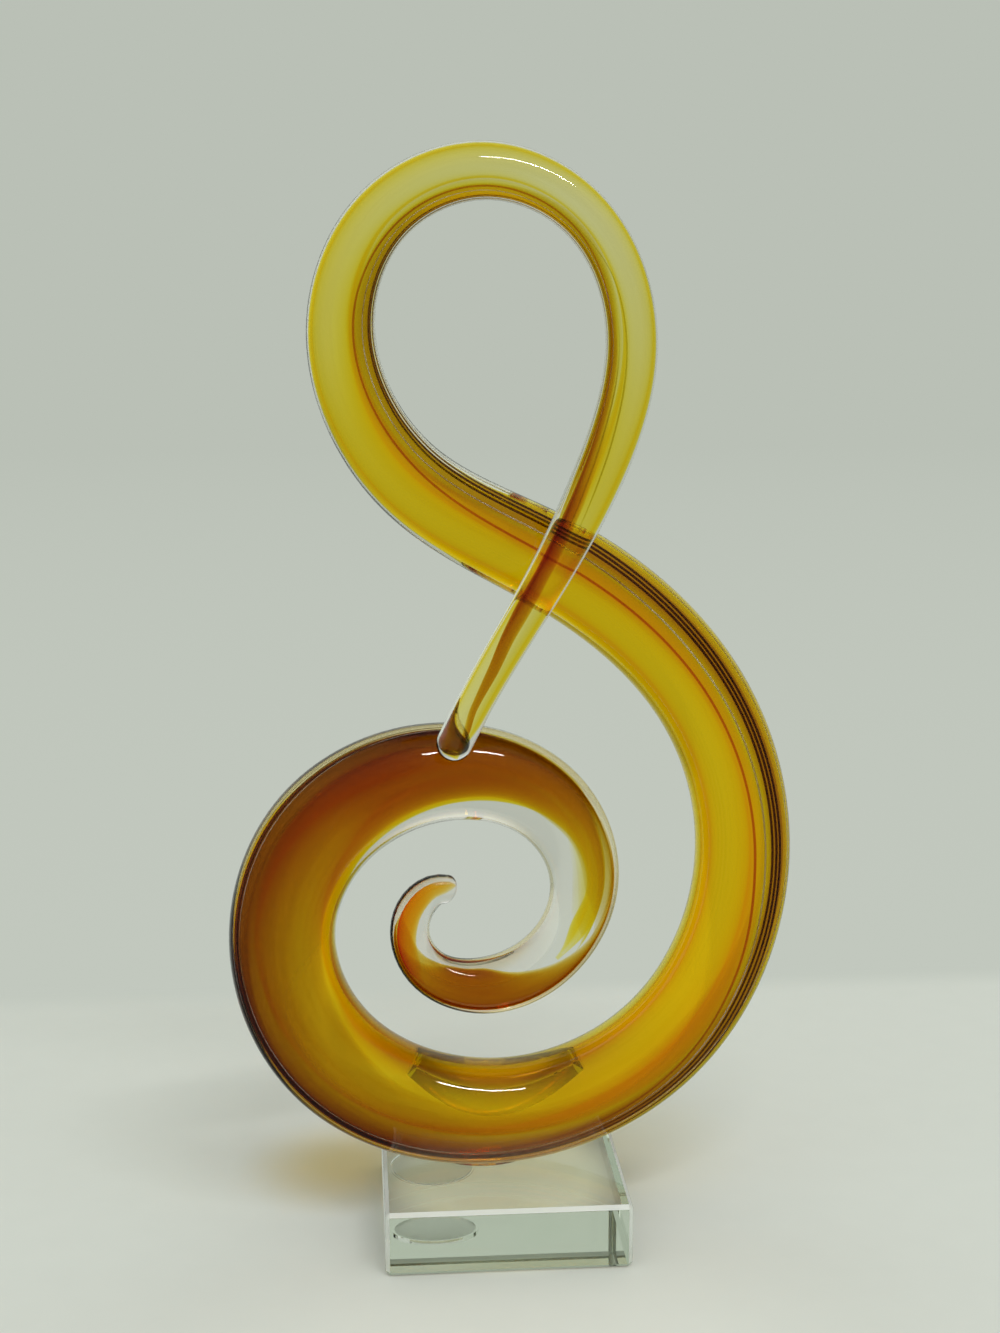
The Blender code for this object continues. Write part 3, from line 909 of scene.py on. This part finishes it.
    # bend, degrees of two pale lines and of the three brown ones between them, radius of the brown ones
    side_shell: float = 0.80
    pale_share: float = 0.6
    side_rows: Table = (
        (9, 8, -5, 12, 1, -13, 0.013),
        (10, 20, 3, 16, 9, -7, 0.013),
        (11, 28, 11, 23, 17, 3, 0.013),
        (12, 41, 23, 36, 31, 15, 0.013),
        (13, 49, 31, 43, 37, 23, 0.018),
        (13.5, 53, 35, 48, 41, 27, 0.02),
        (14, 55, 36, 49, 41, 30, 0.024),
        (14.5, 60, 27, 54, 45, 35, 0.028),
        (15, 66, 15, 54, 46, 38, 0.032),
        (16, 66, 11, 51, 44, 36, 0.032),
        (17, 56, 4, 42, 34, 25, 0.032),
        (18.3, 46, 3, 30, 21, 11, 0.03),
        (19, 44, 1, 26, 19, 9, 0.03),
        (20, 42, 1, 25, 17, 7, 0.028),
        (21, 38, -1, 20, 13, 5, 0.024),
        (22, 31, -3, 20, 12, 3, 0.022),
        (23, 30, -5, 20, 12, 1, 0.02),
        (24.4, 30, -5, 20, 12, 1, 0.01),
    )

    def casing(self) -> bpy.types.Object:
        """Makes the clear casing, with its round tip, its rounded curl end and its ground foot.

        Returns:
            The piece.
        """
        route = self.route
        sweep = Sweep(route)
        tip = route.section(route.length).half_width
        angles = [math.pi / 2.0 * (i + self.tip_start) / self.tip_rings for i in range(self.tip_rings)]
        curl = [self.curl_rounding * (1.0 - math.sin(angle)) for angle in reversed(angles)]
        curl_shares = [math.sqrt(1.0 - (1.0 - place / self.curl_rounding) ** 2) for place in curl]
        tail = [route.length - tip * (1.0 - math.cos(angle)) for angle in reversed(angles)]
        tail_shares = [math.sin(angle) for angle in reversed(angles)]
        middle = route.places(self.curl_rounding, route.length - tip, self.ring_step)
        places = np.concatenate([curl, middle, tail])
        shares = np.concatenate([curl_shares, np.ones(len(middle)), tail_shares])
        order = np.argsort(places, kind="stable")
        places, shares = places[order], shares[order]
        rows = np.stack([-shares, shares], axis=1)
        outline = Oval(Curve(places, rows, np.gradient(rows, places, axis=0)))
        sweep.solid(outline, places, self.casing_sides)
        self.grind(sweep.shape)
        sweep.walls = sweep.shape.faces[:]
        return sweep.piece("casing_glass")

    def grind(self, shape: bmesh.types.BMesh) -> None:
        """Grinds the foot flat and lets it reach through the adhesive into the block's face.

        Args:
            shape: The casing's shape.
        """
        everything = shape.verts[:] + shape.edges[:] + shape.faces[:]
        plane = (0.0, 0.0, self.route.foot_plane)
        cut = bmesh.ops.bisect_plane(
            shape, geom=everything, plane_co=plane, plane_no=(0.0, 0.0, 1.0), clear_inner=True
        )
        rim = [item for item in cut["geom_cut"] if isinstance(item, bmesh.types.BMEdge)]
        foot = bmesh.ops.contextual_create(shape, geom=rim)["faces"]
        foot[0].normal_update()
        down = -math.copysign(self.foot_depth, foot[0].normal.z)
        bmesh.ops.inset_individual(shape, faces=foot, thickness=0.0, depth=down)

    def sleeve(self) -> bpy.types.Object:
        """Makes the yellow sleeve round its clear core.

        Returns:
            The piece.
        """
        curve = self.route.table(self.sleeve_rows)
        bore = Curve(curve.knots, curve.values[:, 2:], curve.slopes[:, 2:])
        places = self.route.places(curve.knots[0], curve.knots[-1], self.ring_step)
        sweep = Sweep(self.route)
        sweep.solid(Oval(curve, self.layer_depth), places, self.layer_sides)
        sweep.solid(Oval(bore, self.layer_depth), places[1:-1], self.layer_sides, hollow=True)
        return sweep.piece("yellow_sleeve")

    def layer(self, name: str, kind: type[Outline], rows: Table) -> bpy.types.Object:
        """Makes a layer of colour.

        Args:
            name: The piece's name.
            kind: What its outline is.
            rows: The outline's sizes, row by row along the rod.

        Returns:
            The piece.
        """
        curve = self.route.table(rows)
        places = self.route.places(curve.knots[0], curve.knots[-1], self.ring_step)
        sweep = Sweep(self.route)
        sweep.solid(kind(curve), places, self.line_sides if kind is Line else self.layer_sides)
        return sweep.piece(name)

    def side_line(self, column: int, share: float = 1.0) -> Table:
        """Rows of a line that lies near the outer surface.

        Args:
            column: Which column of the side rows gives its degrees.
            share: Its radius, as a share of the brown lines' radius.

        Returns:
            Rows of bend, degrees, distance from the middle and radius.
        """
        return tuple((row[0], row[column], self.side_shell, row[-1] * share) for row in self.side_rows)

    def build(self) -> None:
        """Makes every layer of the rod and dresses it."""
        dress(self.casing(), CASING_GLASS, "clear_glass", "clear_casing")
        dress(self.sleeve(), YELLOW_GLASS, "amber_glass", "amber_core")
        bands = (
            ("amber_band", self.amber_rows, AMBER_GLASS),
            ("orange_band", self.orange_rows, ORANGE_GLASS),
            ("curl_band", self.curl_rows, BRIGHT_ORANGE_GLASS),
            ("scroll_band", self.scroll_rows, BROWN_ORANGE_GLASS),
            ("tail_band", self.tail_rows, BROWN_ORANGE_GLASS),
            ("tan_veil", self.veil_rows, VEIL_GLASS),
        )
        for name, rows, finish in bands:
            dress(self.layer(name, Crescent, rows), finish, "orange_glass", "orange_ribbon")
        lines = [
            (f"olive_line_{i}", rows, OLIVE_LINE_GLASS, "amber_glass", "amber_core")
            for i, rows in enumerate(self.olive_lines, 1)
        ]
        lines.append(
            ("orange_line", self.orange_line, ORANGE_LINE_GLASS, "orange_thread_glass", "orange_thread")
        )
        for i in (1, 2):
            rows = self.side_line(i, self.pale_share)
            lines.append((f"pale_line_{i}", rows, PALE_LINE_GLASS, "pale_thread_glass", "pale_thread"))
        for i in (1, 2, 3):
            rows, node = self.side_line(i + 2), f"brown_thread_{i}"
            lines.append((f"brown_line_{i}", rows, BROWN_LINE_GLASS, "brown_thread_glass", node))
        for name, rows, finish, slot, node in lines:
            dress(self.layer(name, Line, rows), finish, slot, node)


def dress(piece: bpy.types.Object, finish: GlassFinish, slot: str, *nodes: str) -> None:
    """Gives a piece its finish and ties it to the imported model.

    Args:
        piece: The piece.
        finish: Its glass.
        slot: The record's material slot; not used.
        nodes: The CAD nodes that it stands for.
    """
    piece.data.materials.clear()
    piece.data.materials.append(finish.make())
    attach(piece, "root")
    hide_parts(*nodes)
    LOG.info("%s: %d faces, %s", piece.name, len(piece.data.polygons), finish.name)


# The base


@dataclass
class Base:
    """The glass block, the adhesive film on it and the bare label under it."""

    nodes: dict
    label_sides: int = 64
    bond_sides: int = 48
    bond_steps: int = 5
    contact: float = 0.02 * MM
    recess_top: float = 0.65 * MM
    block_top: float = 19.0 * MM
    bond_top: float = 19.75 * MM
    bond_flare: float = 0.9 * MM
    chamfer_width: float = 1.3 * MM
    face_share: float = 0.998
    ground_roughness: float = 0.35
    ground_clearness: float = 0.45

    def block(self) -> None:
        """Gives the CAD block its glass."""
        node = self.nodes["base_block"]
        material = BLOCK_GLASS.make()
        self.grind_chamfers(material.node_tree)
        if node.material_slots:
            node.material_slots[0].material = material
        else:
            node.data.materials.append(material)
        LOG.info("base_block: %s", BLOCK_GLASS.name)

    def grind_chamfers(self, tree: bpy.types.NodeTree) -> None:
        """Makes the chamfers over the lowest ones matt and pale, as ground glass is.

        Args:
            tree: The nodes of the block's glass.
        """
        low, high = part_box("base_block")
        half = (high - low) / 2.0
        middle = (low + high) / 2.0
        fit = {
            "Location": tuple(-middle[i] / half[i] for i in range(3)),
            "Scale": tuple(1.0 / half[i] for i in range(3)),
        }
        place = add_node(tree, "ShaderNodeTexCoord").outputs["Object"]
        shares = add_node(tree, "ShaderNodeMapping", fit, Vector=place).outputs["Vector"]
        height = add_node(tree, "ShaderNodeSeparateXYZ", in0=shares).outputs["Z"]
        away = add_node(tree, "ShaderNodeVectorMath", {"operation": "ABSOLUTE"}, in0=shares)
        x, y, z = add_node(tree, "ShaderNodeSeparateXYZ", in0=away.outputs["Vector"]).outputs
        widest = {"operation": "MAXIMUM"}
        side = add_node(tree, "ShaderNodeMath", widest, in0=x, in1=y).outputs["Value"]
        face = add_node(tree, "ShaderNodeMath", widest, in0=side, in1=z).outputs["Value"]
        tests = (
            ("GREATER_THAN", side, 1.0 - self.chamfer_width / half.x),
            ("GREATER_THAN", height, self.chamfer_width / half.z - 1.0),
            ("LESS_THAN", face, self.face_share),
        )
        ground = None
        for operation, measure, limit in tests:
            test = {"operation": operation, 1: limit}
            passed = add_node(tree, "ShaderNodeMath", test, in0=measure).outputs["Value"]
            if ground:
                product = {"operation": "MULTIPLY"}
                both = add_node(tree, "ShaderNodeMath", product, in0=ground, in1=passed)
                passed = both.outputs["Value"]
            ground = passed
        shader = next(node for node in tree.nodes if node.type == "BSDF_PRINCIPLED")
        looks = {
            "Roughness": (0.0, self.ground_roughness), "Transmission Weight": (1.0, self.ground_clearness),
        }
        for name, (polished, rough) in looks.items():
            blend = {"To Min": polished, "To Max": rough}
            change = add_node(tree, "ShaderNodeMapRange", blend, Value=ground)
            tree.links.new(change.outputs["Result"], shader.inputs[name])

    def label(self) -> bpy.types.Object:
        """Makes the bare film, which wets the block's glass over it.

        Returns:
            The piece.
        """
        low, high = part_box("base_label")
        radius = (high.x - low.x) / 2.0
        shape = bmesh.new()
        depth = self.recess_top + self.contact - low.z
        bmesh.ops.create_cone(
            shape, cap_ends=True, segments=self.label_sides, radius1=radius, radius2=radius, depth=depth
        )
        middle = (low + high) / 2.0
        bmesh.ops.translate(shape, vec=(middle.x, middle.y, low.z + depth / 2.0), verts=shape.verts[:])
        return make_object("label_film", shape, sharp=True)

    def bond(self) -> bpy.types.Object:
        """Makes the adhesive round the ground foot, with the hollow rim that it drew up to the glass.

        Returns:
            The piece.
        """
        low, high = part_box("bond_film")
        middle, half = (low + high) / 2.0, (high - low) / 2.0
        bottom = self.block_top - self.contact
        turns = [math.pi / 2.0 * ring / self.bond_steps for ring in range(self.bond_steps + 1)]
        angles = [[2.0 * math.pi * side / self.bond_sides for side in range(self.bond_sides + 1)]]
        # Each ring's points lie inwards of the last ring's, towards the middle
        for turn in turns[:-1]:
            x, y = (1.0 - self.bond_flare * math.sin(turn) / reach for reach in half.xy)
            angles.append([math.atan2(y * math.sin(angle), x * math.cos(angle)) for angle in angles[-1]])

        def put(vert: bmesh.types.BMVert, ring: int, side: int) -> None:
            """Places a point on the hollow rim.

            Args:
                vert: The point.
                ring: Its ring's number.
                side: Its number on the ring.
            """
            inset = self.bond_flare * math.sin(turns[ring])
            x = middle.x + (half.x - inset) * math.cos(angles[ring][side])
            y = middle.y + (half.y - inset) * math.sin(angles[ring][side])
            vert.co = (x, y, bottom + (self.bond_top - bottom) * (1.0 - math.cos(turns[ring])))

        shape = bmesh.new()
        for rim in roll(shape, self.bond_steps, self.bond_sides, put):
            bmesh.ops.contextual_create(shape, geom=rim)
        bmesh.ops.recalc_face_normals(shape, faces=shape.faces[:])
        return make_object("adhesive_rim", shape, sharp=True)

    def build(self) -> None:
        """Dresses the block and makes what lies on it and under it."""
        self.block()
        dress(self.label(), LABEL_FILM, "label_film", "base_label")
        dress(self.bond(), BOND, "clear_adhesive", "bond_film")


# The studio


@dataclass
class Studio:
    """A pale floor with painted amber shadows and painted pools of light round the base, which runs out into
    a pale wall tone, a soft strip light and the camera.
    """

    floor_radius: float = 6.0
    floor_gap: float = 0.05 * MM
    floor_sides: int = 96
    floor_colours: tuple[str, str] = ("#D9DCD6", "#D6D9D3")
    floor_mottle: float = 11.0 * MM
    # Middle, reach and colour of the painted amber shadows: the floor's colour is multiplied by an amber tint
    # where light coloured by the glass would fall
    painted_amber_shadows: tuple = (
        ((-0.046, 0.036), (0.004, 0.038), "#F1E0B0"),
        ((0.020, 0.050), (0.010, 0.070), "#FCF8E8"),
    )
    # Middle, reach and colour of the painted pools of light: emission on the floor under the block and before
    # it, in place of the light that the block would gather and throw on the table
    painted_light_pools: tuple = (
        ((0.0, 0.0), (0.024, 0.040), "#86866A"),
        ((0.0, -0.080), (0.030, 0.105), "#4C4D48"),
    )
    wall_near: str = "#C2C8BE"
    wall_far: str = "#BAC0B6"
    ceiling: str = "#F4F7F2"
    ceiling_rise: tuple[float, float] = (0.30, 0.85)
    mirror_share: float = 0.16
    mirror_rise: tuple[float, float] = (0.55, 0.92)
    wall_start: float = 0.181
    wall_fade: float = 0.012
    wall_end: float = 2.5
    lamp_place: tuple[float, float, float] = (0.25, -0.75, 1.15)
    lamp_aim: tuple[float, float, float] = (0.0, 0.0, 0.18)
    lamp_size: tuple[float, float] = (0.7, 0.06)
    lamp_power: float = 4.5
    camera_place: tuple[float, float, float] = (-41.35 * MM, -531.7 * MM, 278.2 * MM)
    camera_yaw: float = 4.43
    camera_pitch: float = 11.7
    lens: float = 52.01

    def floor(self) -> None:
        """Makes the floor, which turns into the wall's tone behind the object."""
        shape = bmesh.new()
        bmesh.ops.create_circle(shape, cap_ends=True, segments=self.floor_sides, radius=self.floor_radius)
        bmesh.ops.translate(shape, vec=(0.0, 0.0, -self.floor_gap), verts=shape.verts[:])
        floor = make_object("studio_floor", shape)
        floor.data.materials.append(self.table_top())
        floor.visible_glossy = False

    def table_top(self) -> bpy.types.Material:
        """Makes the floor's material: a matte pale top with painted amber shadows and glowing painted pools
        of light round the base, which turns into an even wall behind the object.

        Returns:
            The material.
        """
        material = bpy.data.materials.new("matte pale table top")
        material.use_nodes = True
        tree = material.node_tree
        tree.nodes.clear()
        place = add_node(tree, "ShaderNodeTexCoord").outputs["Object"]
        depth = add_node(tree, "ShaderNodeSeparateXYZ", in0=place).outputs["Y"]
        mottle = {"Scale": 1.0 / self.floor_mottle, "Detail": 4.0}
        noise = add_node(tree, "ShaderNodeTexNoise", mottle, Vector=place)
        first, second = (linear(code) for code in self.floor_colours)
        tones = {"data_type": "RGBA", MIX_FIRST: first, MIX_SECOND: second}
        colour = add_node(tree, "ShaderNodeMix", tones, in0=noise.outputs["Fac"]).outputs[MIX_RESULT]
        # Painted amber shadows: the floor's colour is multiplied by an amber tint round the base
        for centre, reach, code in self.painted_amber_shadows:
            tint = {"data_type": "RGBA", "blend_type": "MULTIPLY", MIX_SECOND: linear(code)}
            spot = self.spot(tree, place, centre, reach)
            colour = add_node(tree, "ShaderNodeMix", tint, in0=spot, in6=colour).outputs[MIX_RESULT]
        matte = {"Roughness": 0.6, "Specular IOR Level": 0.2}
        near = add_node(tree, "ShaderNodeBsdfPrincipled", matte, Base_Color=colour).outputs["BSDF"]
        # Painted pools of light: emission is added to the floor under the block and before it
        for centre, reach, code in self.painted_light_pools:
            spot = self.spot(tree, place, centre, reach)
            glow = add_node(tree, "ShaderNodeEmission", {"Color": linear(code)}, Strength=spot)
            both = add_node(tree, "ShaderNodeAddShader", in0=near, in1=glow.outputs["Emission"])
            near = both.outputs["Shader"]
        edge = {
            "interpolation_type": "SMOOTHSTEP", "From Min": self.wall_start - self.wall_fade,
            "From Max": self.wall_start + self.wall_fade,
        }
        fade = add_node(tree, "ShaderNodeMapRange", edge, Value=depth)
        run = {"From Min": self.wall_start, "From Max": self.wall_end}
        away = add_node(tree, "ShaderNodeMapRange", run, Value=depth)
        shades = {"data_type": "RGBA", MIX_FIRST: linear(self.wall_near), MIX_SECOND: linear(self.wall_far)}
        shade = add_node(tree, "ShaderNodeMix", shades, in0=away.outputs["Result"])
        wall = add_node(tree, "ShaderNodeEmission", {"Strength": 1.0}, Color=shade.outputs[MIX_RESULT])
        mixed = add_node(
            tree, "ShaderNodeMixShader", in0=fade.outputs["Result"], in1=near, in2=wall.outputs["Emission"]
        )
        add_node(tree, "ShaderNodeOutputMaterial", Surface=mixed.outputs["Shader"])
        return material

    def spot(
        self, tree: bpy.types.NodeTree, place: bpy.types.NodeSocket, centre: tuple[float, float],
        reach: tuple[float, float],
    ) -> bpy.types.NodeSocket:
        """A soft round mask on the floor, which places the painted amber shadows and the painted pools of
        light.

        Args:
            tree: The floor's nodes.
            place: Coordinates on the floor.
            centre: Middle of the spot.
            reach: Distances from the middle where it starts to fade and where it has gone.

        Returns:
            The socket that holds its strength, 1 at the middle.
        """
        distance = {"operation": "DISTANCE", 1: (*centre, 0.0)}
        away = add_node(tree, "ShaderNodeVectorMath", distance, in0=place)
        fade = {
            "interpolation_type": "SMOOTHSTEP", "From Min": reach[0], "From Max": reach[1], "To Min": 1.0,
            "To Max": 0.0,
        }
        return add_node(tree, "ShaderNodeMapRange", fade, Value=away.outputs["Value"]).outputs["Result"]

    def world(self) -> None:
        """Makes the pale surroundings.

        Their mirror images are dim, as in a room that is dark behind the viewer, except those that a rim
        throws back from behind the object.
        """
        world = bpy.data.worlds.new("pale studio")
        bpy.context.scene.world = world
        world.use_nodes = True
        tree = world.node_tree
        tree.nodes.clear()
        direction = add_node(tree, "ShaderNodeTexCoord").outputs["Generated"]
        split = add_node(tree, "ShaderNodeSeparateXYZ", in0=direction).outputs
        start, full = self.ceiling_rise
        climb = {"interpolation_type": "SMOOTHSTEP", "From Min": start, "From Max": full}
        rise = add_node(tree, "ShaderNodeMapRange", climb, Value=split["Z"])
        tones = {"data_type": "RGBA", MIX_FIRST: linear(self.wall_far), MIX_SECOND: linear(self.ceiling)}
        tone = add_node(tree, "ShaderNodeMix", tones, in0=rise.outputs["Result"]).outputs[MIX_RESULT]
        start, full = self.mirror_rise
        grow = {
            "interpolation_type": "SMOOTHSTEP", "From Min": start, "From Max": full,
            "To Min": self.mirror_share,
        }
        share = add_node(tree, "ShaderNodeMapRange", grow, Value=split["Y"]).outputs["Result"]
        pale = add_node(tree, "ShaderNodeBackground", {"Strength": 1.0}, Color=tone)
        dim = add_node(tree, "ShaderNodeBackground", Color=tone, Strength=share)
        ray = add_node(tree, "ShaderNodeLightPath").outputs
        glossy = {"operation": "SUBTRACT", "use_clamp": True}
        mirrored = add_node(
            tree, "ShaderNodeMath", glossy, in0=ray["Is Glossy Ray"], in1=ray["Is Transmission Ray"]
        )
        mixed = add_node(
            tree, "ShaderNodeMixShader", in0=mirrored.outputs["Value"], in1=pale.outputs["Background"],
            in2=dim.outputs["Background"],
        )
        add_node(tree, "ShaderNodeOutputWorld", Surface=mixed.outputs["Shader"])

    def hang(self, name: str, data: bpy.types.ID, place: Vector, ahead: Vector) -> bpy.types.Object:
        """Puts a lamp or a camera in its place and turns it.

        Args:
            name: The object's name.
            data: The lamp or the camera.
            place: Where it goes.
            ahead: Which way it looks.

        Returns:
            The object, linked to the scene.
        """
        hung = bpy.data.objects.new(name, data)
        hung.location = place
        hung.rotation_mode = "QUATERNION"
        hung.rotation_quaternion = ahead.to_track_quat("-Z", "Y")
        bpy.context.scene.collection.objects.link(hung)
        return hung

    def lamp(self) -> None:
        """Hangs a soft strip light over the viewer, turned towards the clef."""
        data = bpy.data.lights.new("overhead_strip", "AREA")
        data.shape = "RECTANGLE"
        data.size, data.size_y = self.lamp_size
        data.energy = self.lamp_power
        place = Vector(self.lamp_place)
        self.hang("overhead_strip", data, place, Vector(self.lamp_aim) - place)

    def camera(self) -> None:
        """Makes the camera at the photograph's angle."""
        data = bpy.data.cameras.new("camera")
        data.lens = self.lens
        yaw, pitch = math.radians(self.camera_yaw), math.radians(self.camera_pitch)
        level = math.cos(pitch)
        ahead = Vector((math.sin(yaw) * level, math.cos(yaw) * level, -math.sin(pitch)))
        bpy.context.scene.camera = self.hang("camera", data, Vector(self.camera_place), ahead)

    def paths(self) -> None:
        """Lets light pass through all the layers of glass."""
        scene = bpy.context.scene
        scene.view_settings.view_transform = "Standard"
        scene.view_settings.look = "None"
        settings = {
            "max_bounces": 64, "transmission_bounces": 64, "glossy_bounces": 12, "diffuse_bounces": 3,
            "transparent_max_bounces": 16, "caustics_reflective": False, "caustics_refractive": True,
            "blur_glossy": 0.5, "sample_clamp_indirect": 3.0, "use_denoising": True,
        }
        for name, value in settings.items():
            setattr(scene.cycles, name, value)

    def build(self) -> None:
        """Makes the whole studio."""
        self.camera()
        self.world()
        self.floor()
        self.lamp()
        self.paths()


def main() -> None:
    """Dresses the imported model."""
    logging.basicConfig(level=logging.INFO, format="%(name)s: %(message)s")
    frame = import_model()
    Studio().build()
    Clef(Route()).build()
    Base(frame["nodes"]).build()


if __name__ == "__main__":
    main()
